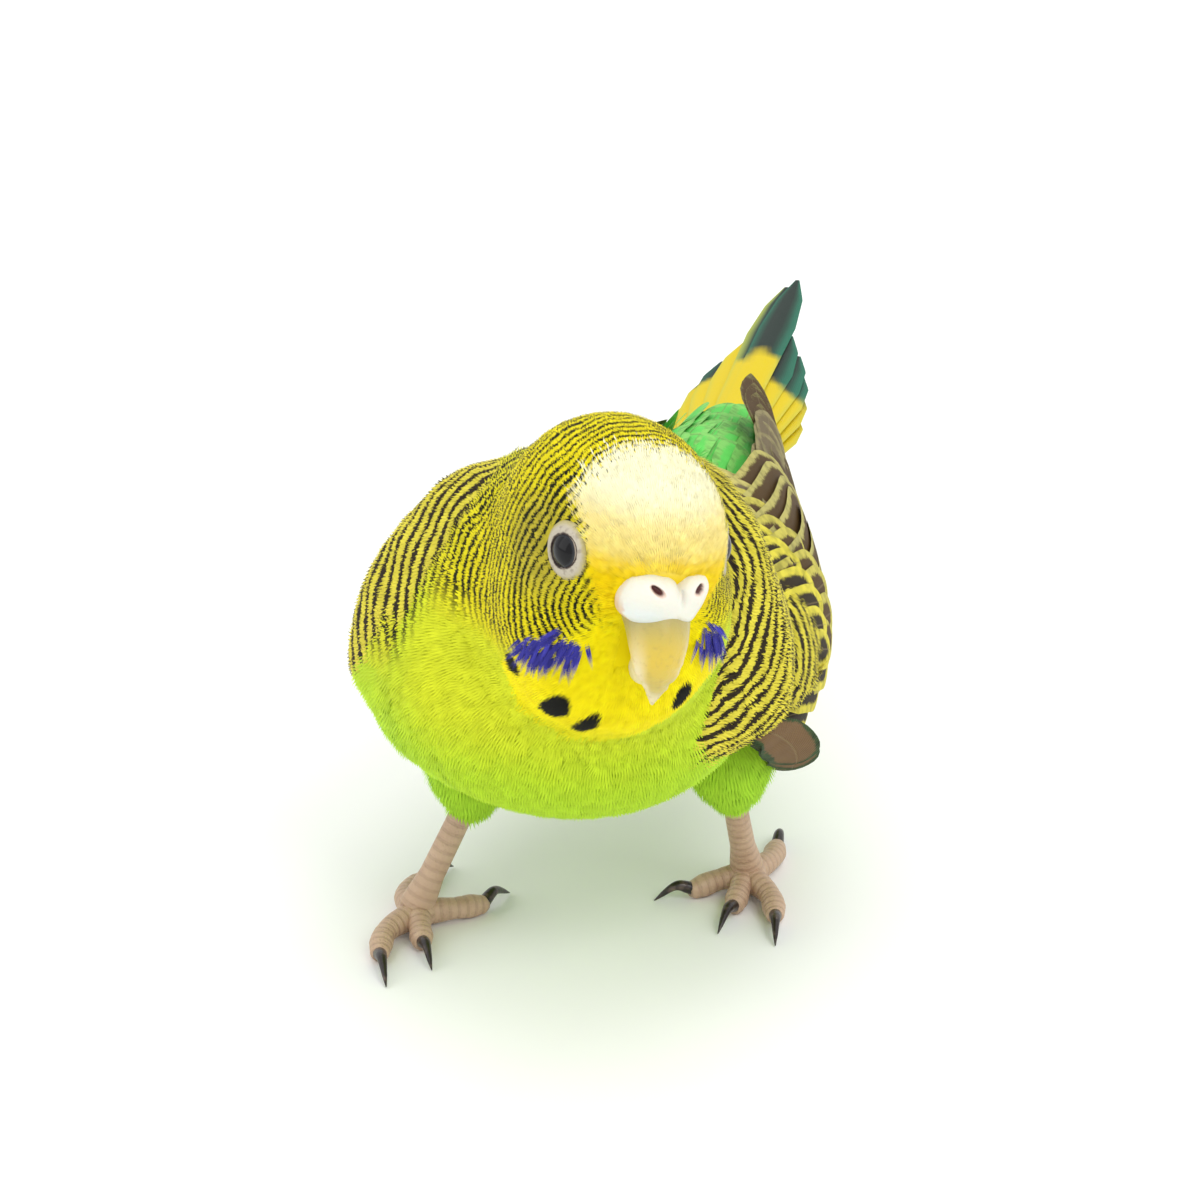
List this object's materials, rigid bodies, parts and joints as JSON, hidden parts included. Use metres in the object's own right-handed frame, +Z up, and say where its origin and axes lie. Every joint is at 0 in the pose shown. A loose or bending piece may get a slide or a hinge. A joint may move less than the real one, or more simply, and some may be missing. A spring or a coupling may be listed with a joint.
{
  "type": "budgerigar",
  "caption": "Life-size still model of a standing green budgerigar with a barred yellow head turned to its left, folded wings and a long teal tail.",
  "frame": {"origin": "middle of the bounding box at floor level, under the bird, where its feet stand", "axes": "+Z up from the floor, +Y towards the tail, +X towards the bird's left"},
  "size_m": [0.0499, 0.1981, 0.0636],
  "materials": {
    "barred_yellow": "soft feathers, yellow with fine black bars",
    "throat_yellow": "soft feathers, yellow-green",
    "grass_green": "soft feathers, bright grass green",
    "rump_green": "soft feathers, emerald green",
    "tail_teal": "smooth feather vanes, dark teal with yellow bands",
    "wing_brown": "feather vanes, brown-black with yellow edges",
    "cere_white": "waxy white skin",
    "bill_horn": "satin horn",
    "eye_black": "wet gloss",
    "leg_pink": "scaled skin",
    "claw_dark": "dark horn"
  },
  "bodies": {
    "root": {"head": "barred_yellow", "neck": "throat_yellow", "torso": "grass_green", "rump": "rump_green", "thigh_left": "grass_green", "thigh_right": "grass_green", "tail": "tail_teal", "wing_left": "wing_brown", "wing_right": "wing_brown", "cere": "cere_white", "bill_upper": "bill_horn", "bill_lower": "bill_horn", "eye_left": "eye_black", "eye_right": "eye_black", "tarsus_left": "leg_pink", "tarsus_right": "leg_pink", "foot_left": "leg_pink", "foot_right": "leg_pink", "claw_1_left": "claw_dark", "claw_2_left": "claw_dark", "claw_3_left": "claw_dark", "claw_4_left": "claw_dark", "claw_1_right": "claw_dark", "claw_2_right": "claw_dark", "claw_3_right": "claw_dark", "claw_4_right": "claw_dark"}
  },
  "joints": []
}
